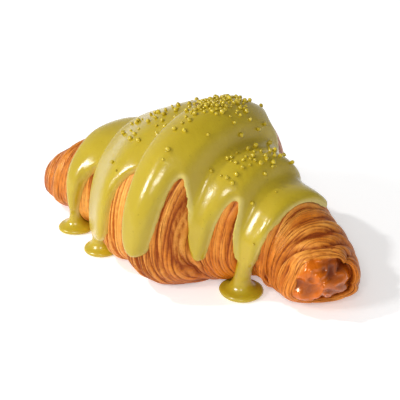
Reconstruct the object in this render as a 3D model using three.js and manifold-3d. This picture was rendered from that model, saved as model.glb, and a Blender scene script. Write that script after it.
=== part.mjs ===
// Glazed croissant.
// One baked, rolled piece of laminated dough lies on its flat underside. A pistachio glaze
// has been poured over it, and runs down in drips, three of which reach the table and spread
// into round pools. Coarse golden crumbs are scattered over the glaze.
// Millimetres. +X runs along the roll to the blunt tip, -Y is the side with the long drips,
// +Z is up, and the origin is on the table below the crown.
import * as THREE from 'three';
import { mergeVertices } from 'three/addons/utils/BufferGeometryUtils.js';
import Module from 'manifold-3d';

const wasm = await Module();
wasm.setup();

// ---- the dough ----------------------------------------------------------------------------

// The roll's outline: place along the roll, half width, height of the top, height of the
// underside, and sideways shift of the middle. Heights below 0 are cut flat at the table.
const OUTLINE = [
  [-83.5, 2, 14, 9, -9],
  [-79, 10, 21.5, 6, -8.5],
  [-70, 18.5, 29.5, 3, -5.5],
  [-55, 24, 39.5, 0, -1],
  [-32, 33, 50.5, -2, 3],
  [-7.5, 44, 62.5, -3, 2],
  [12, 43.5, 68.5, -3, -2],
  [27, 31, 60, 0, -2],
  [40, 23, 49.5, 4.5, 2],
  [54, 20.5, 39.5, 3.5, 4],
  [64, 19, 31.5, 3, 1.5],
  [70, 16.5, 27.5, 3, -1.5],
];
const WIDEST = 0.36;           // height of the widest line, as a share of the section's height
const ROUND_TOP = 2.1;         // superellipse exponent above the widest line
const ROUND_BASE = 2.6;        // and below it
const TIP_TURN = 38;           // degrees by which the blunt tip turns towards -Y
const TIP_TURN_LENGTH = 22;    // over this length
const CROWN = 11;              // place of the widest wrap

// Valleys between one wrap of dough and the next: place along the roll, and depth.
const VALLEYS = [
  [-77.5, 0.9], [-69, 1.5], [-57, 1.8], [-37, 3.6], [-1, 3.8],
  [25, 5.8], [41.5, 4.6], [56, 2.2], [65.5, 1.5],
];
const VALLEY_STEEP = 2.2;      // mm from a valley up the edge of the wrap that lies over it
const VALLEY_EASY = 8;         // mm from a valley up the wrap that it runs out onto
const VALLEY_BEHIND = 0.45;    // share of a valley that is left on the +Y side

// The blunt tip: the last wrap's rim rolls over into a groove, and the caramelised end of the
// roll bulges out of it. Each row is a share of the last section, and how far it stands out.
const TIP_CAP = [
  [0.96, 1.8], [0.89, 2.6], [0.83, 2.0], [0.79, 1.4], [0.74, 3.4], [0.62, 5.8], [0.44, 7.8], [0.22, 9],
];
const TIP_CAP_END = 9.4;

const RINGS = 74;
const SPOKES = 36;

// ---- the glaze ----------------------------------------------------------------------------

const GLAZE_FROM = -55.5;      // the coat's ends along the roll
const GLAZE_TO = 54;
const GLAZE_COLUMNS = 72;
const GLAZE_ROWS = 12;
const COAT = 2.0;              // thickness of the coat
const COAT_EDGE = 1.1;         // thickness at its edge
const DRIP_BULGE = 1.5;        // extra thickness along the middle of a drip
const VALLEY_SHARE = 0.6;      // how much of a dough valley still shows in the glaze
const GAP = 0.35;              // clearance to the dough

// How far down the flank the coat comes: place along the roll, and degrees round the section
// from the top. Each drip is a row of steep shoulders up to its end, and each notch a low row.
const FRONT_EDGE = [
  [-55.5, 60], [-52.3, 82], [-51, 96], [-48.9, 102], [-46.8, 98], [-45.4, 85], [-43, 68], [-38, 54],
  [-36, 56], [-33.5, 66], [-32, 78], [-30.6, 93], [-27.5, 101], [-22, 102], [-16, 99],
  [-12.2, 93], [-10.8, 83], [-9.7, 70], [-8, 61], [-4.5, 54], [0.5, 49],
  [2.4, 60], [3.6, 74], [5, 86], [7.5, 93], [11, 95], [14.6, 93], [16.8, 84], [18.2, 68], [19.4, 50],
  [20.8, 43], [22.8, 50], [24.2, 68], [24.9, 90], [26.2, 101], [28, 104], [30, 100], [31.4, 89],
  [33.8, 62], [36.6, 42], [38, 38],
  [39.1, 50], [39.6, 80], [40.3, 100], [42.8, 108], [45.2, 105], [47.4, 95], [50, 76], [52.4, 56], [54, 36],
];
const BACK_EDGE = [
  [-55.5, 60], [-51.5, 68], [-49, 83], [-46, 88], [-43.2, 82], [-40.6, 67], [-35, 57],
  [-26, 64], [-21.5, 82], [-19.5, 94], [-17.5, 97], [-15.2, 92], [-12.6, 78], [-8.5, 62], [-5, 55],
  [-1.5, 60], [0.5, 74], [3, 82], [5.6, 76], [8, 56], [12, 41], [18, 38],
  [22.5, 47], [26, 60], [27.6, 74], [29.5, 80], [31.6, 74], [34.5, 57], [39.5, 48],
  [43.4, 64], [45.4, 82], [47.2, 88], [49.2, 80], [51.2, 60], [54, 44],
];
// The drips that stand proud of the coat: place and half width.
const FRONT_DRIPS = [[-49, 3.6], [-22, 9], [10.5, 7], [27.8, 3.6], [43.5, 4.4]];
const BACK_DRIPS = [[-46, 4.1], [-17.5, 5], [3, 4.4], [29.5, 3.7], [47, 4.1]];

// Pools on the table: place, radius, radius of the column that feeds it, the column's top, and
// how far the column leans by there.
const POOLS = [
  { x: -50.5, y: -24.5, radius: 8, neck: 2.5, top: 13, lean: [1.5, -2] },
  { x: -28, y: -30, radius: 8, neck: 3.4, top: 15.5, lean: [1, -3.5] },
  { x: 39.5, y: -14.5, radius: 9.5, neck: 3.6, top: 15.5, lean: [2.6, -0.8] },
];
const POOL_THICK = 2.4;
const POOL_SIDES = 20;

// ---- the crumbs ---------------------------------------------------------------------------

const CRUMB_COUNT = 46;
const CRUMB_RADIUS = [0.9, 1.15];
const CRUMB_SPACING = 2.9;
const CRUMB_GAP = 0.3;
// Where crumbs fell: centre and spread along the roll, then centre and spread in degrees round it.
const CRUMB_DRIFTS = [
  { share: 0.55, x: 5, spreadX: 9, phi: -2, spreadPhi: 20 },
  { share: 0.30, x: 33, spreadX: 6.5, phi: 0, spreadPhi: 20 },
  { share: 0.15, x: -9, spreadX: 13, phi: 25, spreadPhi: 18 },
];

// ---- helpers ------------------------------------------------------------------------------

// A curve through the rows of a table that never overshoots them; column 0 is the place.
function smoothTable(rows) {
  const n = rows.length;
  const slopes = rows[0].map((_, k) => {
    const step = [];
    for (let i = 0; i < n - 1; i++) {
      step.push((rows[i + 1][k] - rows[i][k]) / (rows[i + 1][0] - rows[i][0]));
    }
    return rows.map((_row, i) => {
      if (i === 0) return step[0];
      if (i === n - 1) return step[n - 2];
      if (step[i - 1] * step[i] <= 0) return 0;
      return 2 * step[i - 1] * step[i] / (step[i - 1] + step[i]);
    });
  });
  return (x) => {
    let i = 0;
    while (i < n - 2 && x > rows[i + 1][0]) i++;
    const h = rows[i + 1][0] - rows[i][0];
    const t = THREE.MathUtils.clamp((x - rows[i][0]) / h, 0, 1);
    const a = 2 * t ** 3 - 3 * t ** 2 + 1;
    const b = t ** 3 - 2 * t ** 2 + t;
    const c = t ** 3 - t ** 2;
    return rows[i].map((_, k) =>
      a * rows[i][k] + (1 - a) * rows[i + 1][k] + h * (b * slopes[k][i] + c * slopes[k][i + 1]));
  };
}
const outlineAt = smoothTable(OUTLINE);

// Small repeatable random numbers, 0 to 1.
let seed = 20;
function random() {
  seed = (seed * 16807) % 2147483647;
  return seed / 2147483647;
}

// Depth of the dough's valleys at one place along the roll.
function valleyAt(x) {
  let depth = 0;
  for (const [at, deep] of VALLEYS) {
    const towardsCrown = Math.sign(CROWN - at) * (x - at);
    const reach = towardsCrown > 0 ? VALLEY_STEEP : VALLEY_EASY;
    depth += deep * Math.exp(-(((x - at) / reach) ** 2));
  }
  return depth;
}

// A point of the roll: place along it, angle round it from the top (positive down the -Y side),
// height above the dough's surface, and how much of the valleys shows.
function rollPoint(x, phi, above = 0, valleyShare = 1) {
  const [, half, top, base, side] = outlineAt(x);
  const middle = base + WIDEST * (top - base);
  const s = Math.sin(phi);
  const c = Math.cos(phi);
  const tall = c > 0 ? top - middle : middle - base;
  const power = c > 0 ? ROUND_TOP : ROUND_BASE;
  let r = (Math.abs(s / half) ** power + Math.abs(c / tall) ** power) ** (-1 / power);
  const behind = THREE.MathUtils.lerp(1, VALLEY_BEHIND, THREE.MathUtils.smoothstep(-s, 0.05, 0.75));
  const fade = THREE.MathUtils.clamp((c + 0.9) / 0.5, 0, 1) * behind;
  r += above - valleyAt(x) * valleyShare * fade * Math.min(1, r / 20);
  const along = THREE.MathUtils.clamp((x - OUTLINE.at(-1)[0] + TIP_TURN_LENGTH) / TIP_TURN_LENGTH, 0, 1);
  const turn = THREE.MathUtils.degToRad(TIP_TURN) * along ** 1.5;
  const out = r * s;
  return new THREE.Vector3(x - out * Math.sin(turn), side - out * Math.cos(turn), middle + r * c);
}

// Closed geometry from rings of points, closed with a point at each end.
function skin(start, rings, end) {
  const m = rings[0].length;
  const points = [start, ...rings.flat(), end];
  const last = points.length - 1;
  const index = [];
  for (let j = 0; j < m; j++) {
    const k = (j + 1) % m;
    index.push(0, 1 + k, 1 + j);
    for (let i = 0; i < rings.length - 1; i++) {
      const a = 1 + i * m;
      const b = a + m;
      index.push(a + j, a + k, b + j, a + k, b + k, b + j);
    }
    const a = 1 + (rings.length - 1) * m;
    index.push(a + j, a + k, last);
  }
  return closed(points, index);
}

// Indexed geometry, turned so that its faces point out.
function closed(points, index) {
  let volume = 0;
  for (let i = 0; i < index.length; i += 3) {
    const [a, b, c] = [points[index[i]], points[index[i + 1]], points[index[i + 2]]];
    volume += a.dot(new THREE.Vector3().crossVectors(b, c));
  }
  if (volume < 0) index.reverse();
  const geometry = new THREE.BufferGeometry().setFromPoints(points);
  geometry.setIndex(index);
  return geometry;
}

function solidOf(geometry) {
  const bare = geometry.clone();
  bare.deleteAttribute('normal');
  bare.deleteAttribute('uv');
  const merged = mergeVertices(bare, 1e-4);
  return new wasm.Manifold(new wasm.Mesh({
    numProp: 3,
    vertProperties: merged.attributes.position.array,
    triVerts: new Uint32Array(merged.index.array),
  }));
}

function geometryOf(solid) {
  const mesh = solid.getMesh();
  const geometry = new THREE.BufferGeometry();
  geometry.setAttribute('position', new THREE.BufferAttribute(mesh.vertProperties, 3));
  geometry.setIndex(new THREE.BufferAttribute(mesh.triVerts, 1));
  geometry.computeVertexNormals();
  return geometry;
}

// ---- dough --------------------------------------------------------------------------------

// The dough's skin, standing off by a clearance; what would reach below the table is cut flat.
function doughGeometry(clearance, floor) {
  const from = OUTLINE[0][0];
  const to = OUTLINE.at(-1)[0];
  const rings = [];
  const ringAt = (x) => {
    const ring = [];
    for (let j = 0; j < SPOKES; j++) ring.push(rollPoint(x, j / SPOKES * 2 * Math.PI, clearance));
    return ring;
  };
  for (let i = 0; i < RINGS; i++) rings.push(ringAt(from + (to - from) * i / (RINGS - 1)));
  const first = rings[0].reduce((sum, p) => sum.add(p), new THREE.Vector3()).divideScalar(SPOKES);
  const rim = rings.at(-1);
  const centre = rim.reduce((sum, p) => sum.add(p), new THREE.Vector3()).divideScalar(SPOKES);
  const turn = THREE.MathUtils.degToRad(TIP_TURN);
  const ahead = new THREE.Vector3(Math.cos(turn), -Math.sin(turn), 0);
  for (const [share, stand] of TIP_CAP) {
    rings.push(rim.map((p) => centre.clone().lerp(p, share).addScaledVector(ahead, stand)));
  }
  const tip = centre.clone().addScaledVector(ahead, TIP_CAP_END + clearance);
  first.x -= 1 + clearance;
  for (const ring of rings) {
    for (const p of ring) p.z = Math.max(p.z, floor);
  }
  return skin(first, rings, tip);
}

// ---- glaze --------------------------------------------------------------------------------

// Extra thickness along the middle of a drip.
function bulgeAt(x, phi, drips) {
  const below = THREE.MathUtils.smoothstep(phi, 45, 75);
  let bulge = 0;
  for (const [at, half] of drips) {
    bulge = Math.max(bulge, DRIP_BULGE * below * Math.max(0, 1 - ((x - at) / (half * 1.3)) ** 2));
  }
  return bulge;
}

function coatGeometry() {
  const frontAt = smoothTable(FRONT_EDGE);
  const backAt = smoothTable(BACK_EDGE);
  const outer = [];
  const inner = [];
  for (let i = 0; i <= GLAZE_COLUMNS; i++) {
    const x = GLAZE_FROM + (GLAZE_TO - GLAZE_FROM) * i / GLAZE_COLUMNS;
    const front = frontAt(x)[1];
    const back = -backAt(x)[1];
    for (let j = 0; j <= GLAZE_ROWS; j++) {
      const degrees = back + (front - back) * j / GLAZE_ROWS;
      const phi = THREE.MathUtils.degToRad(degrees);
      const edge = i === 0 || i === GLAZE_COLUMNS || j === 0 || j === GLAZE_ROWS;
      const drips = degrees > 0 ? FRONT_DRIPS : BACK_DRIPS;
      const thick = edge ? COAT_EDGE : COAT + bulgeAt(x, Math.abs(degrees), drips);
      outer.push(rollPoint(x, phi, GAP + thick, edge ? 1 : VALLEY_SHARE));
      inner.push(rollPoint(x, phi, -3));
    }
  }
  const n = outer.length;
  const w = GLAZE_ROWS + 1;
  const index = [];
  const quad = (a, b, c, d) => index.push(a, b, c, a, c, d);
  for (let i = 0; i < GLAZE_COLUMNS; i++) {
    for (let j = 0; j < GLAZE_ROWS; j++) {
      const a = i * w + j;
      quad(a, a + 1, a + w + 1, a + w);
      quad(n + a, n + a + w, n + a + w + 1, n + a + 1);
    }
    const a = i * w;
    quad(a, a + w, n + a + w, n + a);
    const b = a + GLAZE_ROWS;
    quad(b + w, b, n + b, n + b + w);
  }
  for (let j = 0; j < GLAZE_ROWS; j++) {
    quad(j + 1, j, n + j, n + j + 1);
    const a = GLAZE_COLUMNS * w + j;
    quad(a, a + 1, n + a + 1, n + a);
  }
  return closed([...outer, ...inner], index);
}

// A round pool on the table, drawn up into the column that feeds it.
function poolGeometry({ x, y, radius, neck, top, lean }) {
  const profile = [
    [0, 0], [radius - 0.9, 0], [radius, POOL_THICK * 0.4], [radius - 0.8, POOL_THICK * 0.85],
    [radius * 0.62, POOL_THICK * 1.15], [neck + 1.3, POOL_THICK * 1.6], [neck, POOL_THICK * 2.6],
    [neck, POOL_THICK * 3.8], [neck, top], [0, top],
  ];
  const lathe = new THREE.LatheGeometry(profile.map(([r, z]) => new THREE.Vector2(r, z)), POOL_SIDES);
  lathe.rotateX(Math.PI / 2);
  const points = lathe.attributes.position;
  for (let i = 0; i < points.count; i++) {
    const up = THREE.MathUtils.smoothstep(points.getZ(i), POOL_THICK, top);
    points.setX(i, points.getX(i) + x + lean[0] * up);
    points.setY(i, points.getY(i) + y + lean[1] * up);
  }
  return lathe;
}

// Coat, columns and pools in one, hollowed by the dough that it lies on.
function glazeSolid() {
  let whole = solidOf(coatGeometry());
  for (const pool of POOLS) whole = whole.add(solidOf(poolGeometry(pool)));
  return whole.subtract(solidOf(doughGeometry(GAP, -5)));
}

// ---- crumbs -------------------------------------------------------------------------------

// Places on the glaze for the crumbs: each rests on the coat, clear of it and of the others.
function crumbPlaces(glaze, glazeBody) {
  const places = [];
  const touches = (at, radius) => {
    const ball = new THREE.IcosahedronGeometry(radius, 1).translate(at.x, at.y, at.z);
    return solidOf(ball).intersect(glazeBody).volume() > 0;
  };
  const caster = new THREE.Raycaster();
  for (const drift of CRUMB_DRIFTS) {
    const wanted = places.length + Math.round(drift.share * CRUMB_COUNT);
    while (places.length < Math.min(wanted, CRUMB_COUNT)) {
      const spread = () => random() + random() + random() - 1.5;
      const x = drift.x + drift.spreadX * 1.6 * spread();
      const phi = THREE.MathUtils.degToRad(drift.phi + drift.spreadPhi * 1.6 * spread());
      const radius = THREE.MathUtils.lerp(...CRUMB_RADIUS, random());
      const inside = rollPoint(x, phi, -10);
      const outside = rollPoint(x, phi, 20);
      caster.set(outside, inside.clone().sub(outside).normalize());
      const hit = caster.intersectObject(glaze)[0];
      if (!hit) continue;
      const at = hit.point.clone().addScaledVector(hit.face.normal, radius + CRUMB_GAP);
      if (places.some((p) => p.at.distanceTo(at) < CRUMB_SPACING)) continue;
      if (touches(at, radius + CRUMB_GAP * 0.8)) continue;
      places.push({ at, radius });
    }
  }
  return places;
}

// ---- assembly -----------------------------------------------------------------------------

const croissant = new THREE.Group();

const dough = new THREE.Mesh(
  doughGeometry(0, 0),
  new THREE.MeshStandardMaterial({ color: 0xc07a38, roughness: 0.5, metalness: 0 }),
);
dough.name = 'baked_dough';
croissant.add(dough);

const glazeBody = glazeSolid();
const glaze = new THREE.Mesh(
  geometryOf(glazeBody),
  new THREE.MeshStandardMaterial({ color: 0xc6a838, roughness: 0.2, metalness: 0 }),
);
glaze.name = 'pistachio_glaze';
croissant.add(glaze);

crumbPlaces(glaze, glazeBody).forEach(({ at, radius }, i) => {
  const crumb = new THREE.Mesh(
    new THREE.IcosahedronGeometry(radius),
    new THREE.MeshStandardMaterial({ color: 0xd8bc3a, roughness: 0.45, metalness: 0 }),
  );
  crumb.name = `crumb_${String(i + 1).padStart(2, '0')}`;
  crumb.position.copy(at);
  crumb.rotation.set(random() * Math.PI, random() * Math.PI, random() * Math.PI);
  crumb.scale.set(1, 0.85 + 0.15 * random(), 0.85 + 0.15 * random());
  croissant.add(crumb);
});

export default croissant;
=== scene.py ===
# %% [markdown]
# # A croissant under a pistachio glaze
# A croissant is one piece of laminated dough, rolled up from a triangle and baked. Here a
# pistachio glaze has been poured over it while it stood on the table, so the glaze hangs in
# drips, and three of them have run down and spread into round pools. Coarse golden crumbs
# were scattered on top before the glaze set.
#
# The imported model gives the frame: where each piece is and how big it is. This lesson makes
# the fine surfaces inside that frame: the flaky dough, the poured glaze and the crumbs.

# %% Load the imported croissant
import math

import bmesh
import bpy
import numpy as np
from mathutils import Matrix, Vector
from mathutils.bvhtree import BVHTree
from mathutils.kdtree import KDTree


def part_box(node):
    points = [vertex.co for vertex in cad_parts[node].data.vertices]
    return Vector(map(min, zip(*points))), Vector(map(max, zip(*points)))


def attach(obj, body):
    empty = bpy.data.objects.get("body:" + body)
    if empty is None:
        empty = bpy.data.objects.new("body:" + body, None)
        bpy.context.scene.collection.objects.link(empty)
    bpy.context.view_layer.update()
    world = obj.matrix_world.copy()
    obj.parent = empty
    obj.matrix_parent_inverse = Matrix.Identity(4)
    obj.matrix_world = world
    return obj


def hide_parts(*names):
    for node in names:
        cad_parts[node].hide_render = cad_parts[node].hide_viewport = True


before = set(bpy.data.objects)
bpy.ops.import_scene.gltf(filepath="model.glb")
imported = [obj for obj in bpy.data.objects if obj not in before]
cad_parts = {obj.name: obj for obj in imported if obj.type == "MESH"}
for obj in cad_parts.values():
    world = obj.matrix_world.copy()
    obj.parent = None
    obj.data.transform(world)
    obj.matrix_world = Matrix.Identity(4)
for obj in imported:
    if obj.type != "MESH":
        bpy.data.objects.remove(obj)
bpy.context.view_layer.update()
crumb_nodes = sorted(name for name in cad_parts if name.startswith("crumb_"))
print("pieces in the frame:", len(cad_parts), "of them crumbs:", len(crumb_nodes))

# %% [markdown]
# ## The shape of the roll
# The roll is a row of sections along X, each a rounded oval that is widest low down, where
# the soft dough sagged as it proved. A small table says how wide and how tall it is at a few
# places, and a smooth curve through the table gives every place between. The same table is
# used in the part's own source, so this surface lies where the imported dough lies.
# Distances are in millimetres here, and turned into metres when a mesh is made.

# %% The table of sections
MM = 0.001
# place along the roll, half width, height of the top, height of the underside, sideways shift
OUTLINE = np.array([
    [-83.5, 2, 14, 9, -9],
    [-79, 10, 21.5, 6, -8.5],
    [-70, 18.5, 29.5, 3, -5.5],
    [-55, 24, 39.5, 0, -1],
    [-32, 33, 50.5, -2, 3],
    [-7.5, 44, 62.5, -3, 2],
    [12, 43.5, 68.5, -3, -2],
    [27, 31, 60, 0, -2],
    [40, 23, 49.5, 4.5, 2],
    [54, 20.5, 39.5, 3.5, 4],
    [64, 19, 31.5, 3, 1.5],
    [70, 16.5, 27.5, 3, -1.5],
])
WIDEST = 0.36
ROUND_TOP, ROUND_BASE = 2.1, 2.6
TIP_TURN, TIP_TURN_LENGTH = math.radians(38), 22  # the blunt tip turns to the front
CROWN = 11  # where along the roll the crown is


def smooth_table(rows):
    """A function that gives the table's columns at any place, never overshooting them."""
    x, y = rows[:, 0], rows[:, 1:]
    step = np.diff(y, axis=0) / np.diff(x)[:, None]
    both = step[:-1] * step[1:]
    total = step[:-1] + step[1:]
    middle = np.where(both > 0, 2 * both / np.where(both > 0, total, 1), 0)
    slope = np.vstack([step[:1], middle, step[-1:]])

    def at(place):
        place = np.asarray(place, float)
        i = np.clip(np.searchsorted(x, place, side="left") - 1, 0, len(x) - 2)
        h = (x[i + 1] - x[i])[..., None]
        t = np.clip((place - x[i])[..., None] / h, 0, 1)
        a = 2 * t**3 - 3 * t**2 + 1
        b, c = t**3 - 2 * t**2 + t, t**3 - t**2
        return a * y[i] + (1 - a) * y[i + 1] + h * (b * slope[i] + c * slope[i + 1])

    return at


outline_at = smooth_table(OUTLINE)
print("crown is", round(float(outline_at(12.0)[0]) * 2), "mm wide")

# %% [markdown]
# ## The wraps
# Each turn of the triangle is a wrap, and where one wrap's edge lies over the next there is
# a valley round the roll. A valley drops steeply off the upper wrap and runs out gently onto
# the lower one. The valleys could be cut as sharp grooves, but risen dough closes them to soft
# folds, so each is a smooth dent. Those at the blunt end are about a millimetre deeper than in
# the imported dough, so that they still read through the glaze, and they get shallower on the
# far side of the roll.

# %% Valleys between the wraps
VALLEYS = [
    (-77.5, 0.9), (-69, 1.5), (-57, 1.8), (-37, 3.6), (-1, 3.8),
    (25, 7.2), (41.5, 5.6), (56, 2.2), (65.5, 1.5),
]
VALLEY_STEEP, VALLEY_EASY = 1.9, 8  # reach towards the crown, and away from it
VALLEY_BEHIND = 0.45  # share of the depth that is left on the far side
FULL_VALLEY = 20  # where the roll is thinner than this, a valley is shallower


def smoothstep(value, low, high):
    """0 below low, 1 above high, and a soft climb between."""
    t = np.clip((value - low) / (high - low), 0, 1)
    return t * t * (3 - 2 * t)


def valley_at(x):
    """Depth of the valleys at a place along the roll."""
    depth = np.zeros_like(np.asarray(x, float))
    for place, deep in VALLEYS:
        towards_crown = np.sign(CROWN - place) * (x - place)
        reach = np.where(towards_crown > 0, VALLEY_STEEP, VALLEY_EASY)
        depth += deep * np.exp(-(((x - place) / reach) ** 2))
    return depth


def roll_point(x, phi, above=0.0):
    """A point of the roll: place along it, angle round it from the top (positive down the
    front) and height above the dough."""
    x, phi = np.broadcast_arrays(np.asarray(x, float), np.asarray(phi, float))
    half, top, base, side = np.moveaxis(outline_at(x), -1, 0)
    middle = base + WIDEST * (top - base)
    s, c = np.sin(phi), np.cos(phi)
    tall = np.where(c > 0, top - middle, middle - base)
    power = np.where(c > 0, ROUND_TOP, ROUND_BASE)
    r = (np.abs(s / half) ** power + np.abs(c / tall) ** power) ** (-1 / power)
    behind = 1 + (VALLEY_BEHIND - 1) * smoothstep(-s, 0.05, 0.75)
    above_foot = np.clip((c + 0.9) / 0.5, 0, 1)
    r = r + above - valley_at(x) * (above_foot * behind) * np.minimum(1, r / FULL_VALLEY)
    along = np.clip((x - OUTLINE[-1, 0] + TIP_TURN_LENGTH) / TIP_TURN_LENGTH, 0, 1)
    turn = TIP_TURN * along**1.5
    out = r * s
    return np.stack([x - out * np.sin(turn), side - out * np.cos(turn), middle + r * c], -1)


print("deepest valley:", round(float(valley_at(np.linspace(-80, 70, 600)).max()), 1), "mm")

# %% [markdown]
# ## Uneven by nature
# Nothing on a croissant is regular. A patch of random numbers on a coarse net, blended
# smoothly in between, gives soft unevenness of any size. The numbers come from a seed, so
# the croissant is the same each time. Round the roll the net has to meet itself, or a seam
# would show.

# %% Soft unevenness
def unevenness(u, v, seed, across=64, around=64):
    """Smooth random values from 0 to 1 over a net whose cells are 1 by 1."""
    net = np.random.default_rng(seed).random((across, around))
    i, j = np.floor(u).astype(int), np.floor(v).astype(int)
    f, g = u - i, v - j
    f, g = f * f * (3 - 2 * f), g * g * (3 - 2 * g)
    i0, i1, j0, j1 = i % across, (i + 1) % across, j % around, (j + 1) % around
    low = net[i0, j0] * (1 - f) + net[i1, j0] * f
    high = net[i0, j1] * (1 - f) + net[i1, j1] * f
    return low * (1 - g) + high * g


def skin_unevenness(along, turn, every, times, seed, across=64):
    """Unevenness over the skin that meets itself: a new value every so many mm along the
    roll, and so many times in each turn round it."""
    return unevenness(along / every, turn * times % times, seed, across, times)


print("unevenness at one place:", round(float(unevenness(np.array(3.3), np.array(8.1), 5)), 3))

# %% [markdown]
# ## The flaky layers
# Butter between the folds parts the dough into sheets as it bakes, and where a wrap's cut
# edge shows, the sheets stand out as rounded ribs with a narrow dark line between two. They
# run round the roll, wander, and lie wider apart towards the tips, where the wraps are only a
# few sheets thick. They could be left to a bump in the material, but their outline shows at
# the edges of the belly and they throw real shadows, so they are made in the mesh. There are
# two sizes of rib, and each is strong in some places and nearly gone in others. On the far
# tip, which was pressed smooth when it was rolled, both are weak. On the far side they come
# and go in patches, as dough does that rose against its neighbour in the oven.

# %% One size of rib
# how far apart the ribs are near the crown and at the tips, and how high they are, in mm
THICK_PITCHES, THICK_RIB = (3.4, 4.2), 1.8
THIN_PITCHES, THIN_RIB = (1.45, 1.7), 0.65
RIB_WANDER = 1.8
TIP_RIBS = 42  # from here outwards, counted from the crown, the ribs are at the tips' pitch


def sheet_ends(s, turn, pitch, tip_pitch, wander, seed):
    """Rounded ribs with a narrow dark line between two. Gives the height, -0.5 to 0.5, and
    how close a point is to a line, 0 to 1. Ribs are wider apart towards the tips."""
    from_crown = np.abs(s - CROWN)
    away = np.minimum(from_crown, TIP_RIBS) / pitch
    away += np.maximum(from_crown - TIP_RIBS, 0) / tip_pitch
    away += wander * (skin_unevenness(s, turn, pitch * 3, 5, seed) - 0.5)
    part = away % 1
    height = 1 - np.abs(2 * part - 0.85) ** 1.8 / 1.1
    line = np.exp(-((part / 0.2) ** 1.5)) + np.exp(-(((1 - part) / 0.14) ** 1.5))
    return height - 0.5, line


print("ribs every", THICK_PITCHES[0], "mm, with finer ones every", THIN_PITCHES[0], "mm")

# %% Height of the layers
def layers_at(x, phi):
    """Height of the layers in mm, how deep in a groove a point is (0 to 1), and the place
    counted across the sheets, which wanders as they do."""
    turn = phi / (2 * np.pi)
    s = x + 5.0 * (skin_unevenness(x, turn, 30, 4, 11) - 0.5)
    s += 0.8 * (skin_unevenness(x, turn, 11, 9, 12) - 0.5)
    thick_rib, thick_line = sheet_ends(s, turn, *THICK_PITCHES, RIB_WANDER, 13)
    thin_rib, thin_line = sheet_ends(s, turn, *THIN_PITCHES, RIB_WANDER, 14)
    thick_share = 0.2 + 0.8 * smoothstep(skin_unevenness(s, turn, 7, 5, 15), 0.15, 0.8)
    thin_share = 0.1 + 0.9 * smoothstep(skin_unevenness(s, turn, 4, 6, 16), 0.1, 0.9)
    patch = smoothstep(skin_unevenness(s, turn, 13, 5, 17), 0.3, 0.7)
    behind = smoothstep(-np.sin(phi), 0.0, 0.6)
    calm = (1 - 0.5 * smoothstep(-s, 42, 60)) * (1 - 0.65 * behind * (1 - patch))
    thick_share, thin_share = thick_share * calm, thin_share * calm
    broad = skin_unevenness(s, turn, 4.2, 7, 18, across=128)
    height = THICK_RIB * thick_share * thick_rib + THIN_RIB * thin_share * thin_rib
    height += 0.7 * (broad - 0.5)
    # how near a groove a point is, also higher in low places; the finish paints it dark as painted
    # shade
    groove = thick_share * thick_line + 0.9 * thin_share * thin_line
    groove += 0.35 * (0.5 - broad)
    return height, np.clip(groove, 0, 1), s


print("layers at the crown stand", round(float(layers_at(CROWN, np.zeros(1))[0][0]), 2), "mm")

# %% [markdown]
# ## The blunt tip
# At the near end the last wrap's rim rolls over, and the end of the roll, caramelised and
# blistered where the butter fried it, swells out of it like a glossy knob. The knob could be
# a piece of its own, but on a real croissant it is the same dough, so the section is carried
# on past the rim: inwards over its lip, back into a groove that is deepest low down on the
# far side, and out again over the knob, which is lumpy with smooth blisters.

# %% The rim and the knob
TIP_CAP = smooth_table(np.array([
    # step, share of the last section, how far it stands out
    [0, 1.00, 0.0],
    [1, 0.97, 1.8],
    [2, 0.92, 2.8],
    [3, 0.86, 3.0],
    [4, 0.80, 2.2],
    [5, 0.75, 1.9],
    [6, 0.66, 4.6],
    [7, 0.47, 7.6],
    [8, 0.24, 9.0],
    [9, 0.00, 9.4],
]))
print("cap stands out", float(TIP_CAP(9.0)[1]), "mm")

# %% [markdown]
# ## The dough's skin
# A close net of points is laid over the roll, and each is moved out or in by the layers.
# The layers fade under the flat foot, where the dough stood on the tray, and on the knob.
# Beside its place, each point keeps a few values for the finish: how deep in a groove it is,
# which is painted as shade, how toasted, with a painted highlight on the rib crests and painted
# shade between them, and how caramelised. Painting them later by hand would not match the ribs.

# %% Lay the net over the roll
RINGS, SPOKES, CAP_RINGS = 490, 180, 52
along = np.linspace(OUTLINE[0, 0], OUTLINE[-1, 0], RINGS)
around = np.arange(SPOKES) / SPOKES * 2 * np.pi
X, PHI = np.meshgrid(along, around, indexing="ij")
TURN = PHI / (2 * np.pi)
relief, groove, across_sheets = layers_at(X, PHI)
nose_fade = smoothstep(X, OUTLINE[0, 0], OUTLINE[0, 0] + 4)
foot = smoothstep(np.cos(PHI), -0.97, -0.8)
dough_points = roll_point(X, PHI, relief * nose_fade * (0.25 + 0.75 * foot))
print("ribs stand", round(float(relief.max()), 1), "mm out at most")

# %% Directions at the tip
def side_towards(degrees_round):
    """1 on the side of the tip at that angle from its top (positive down the front), and 0 on
    the other side."""
    return 0.5 + 0.5 * np.cos(around - math.radians(degrees_round))[None]


rim = dough_points[-1]
centre = rim.mean(0)
ahead = np.array([math.cos(TIP_TURN), -math.sin(TIP_TURN), 0])
to_front = np.array([-math.sin(TIP_TURN), -math.cos(TIP_TURN), 0])
KNOB_SHIFT = 1.4 * to_front + np.array([0, 0, 2.6])  # the knob sits off the rim's middle
low_far, near = side_towards(-125), side_towards(80)
print("the rim's middle is", round(float(centre[2]), 1), "mm up")

# %% Lip, groove and dome
DOME = 8.6  # how far the end stands out where there is no lip
GROOVE_STEP, GROOVE_WIDTH, GROOVE_DEPTH = 4.7, 0.6, 2.6
steps = np.linspace(0, 9, CAP_RINGS + 2)[1:-1][:, None]
share, stand = np.moveaxis(TIP_CAP(steps + 0 * around), -1, 0)
lip = smoothstep(side_towards(-120), 0.3, 0.75)
dome = DOME * (1 - share**2) ** 0.6
stand = lip * stand + (1 - lip) * dome
dip = np.exp(-(((steps - GROOVE_STEP) / GROOVE_WIDTH) ** 2)) * GROOVE_DEPTH * low_far**4
print("groove is", round(float(dip.max()), 1), "mm deep")

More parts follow.
